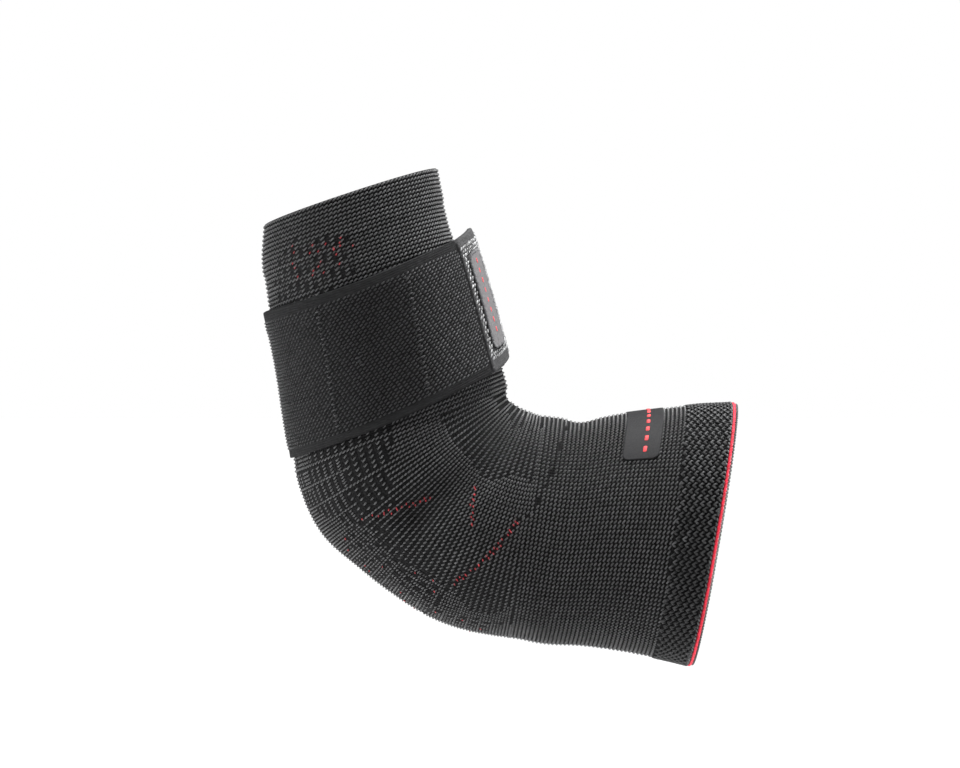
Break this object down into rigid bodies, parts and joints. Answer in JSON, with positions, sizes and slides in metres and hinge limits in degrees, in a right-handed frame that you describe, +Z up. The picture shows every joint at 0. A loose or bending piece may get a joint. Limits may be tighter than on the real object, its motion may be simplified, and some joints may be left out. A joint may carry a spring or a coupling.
{
  "type": "elbow support",
  "caption": "Knitted elbow sleeve bent as worn, open at both ends, with a wrapped elastic forearm strap, its stiff fastening tab and blank badges.",
  "frame": {"origin": "the elbow's centre inside the sleeve, where the forearm's axis crosses the upper arm's axis: where an arm holds the support up", "axes": "+X along the upper arm towards its opening, +Z up across the upper arm in the plane of the bend with the forearm rising over the origin, -Y towards the arm's outer side"},
  "size_m": [0.1994, 0.0966, 0.2081],
  "materials": {
    "sleeve_knit": "matte charcoal weft knit",
    "red_yarn": "matte red yarn",
    "strap_loop_fabric": "black looped elastic webbing",
    "tab_fabric": "black hook-backed fabric",
    "badge_grey": "satin moulded silicone, blank",
    "badge_black": "satin moulded silicone, blank"
  },
  "bodies": {
    "root": {"knit_sleeve": "sleeve_knit", "red_edge": "red_yarn", "picot_edge": "sleeve_knit", "strap_band": "strap_loop_fabric", "strap_tab": "tab_fabric", "tab_badge": "badge_grey", "sleeve_badge": "badge_black"}
  },
  "joints": []
}
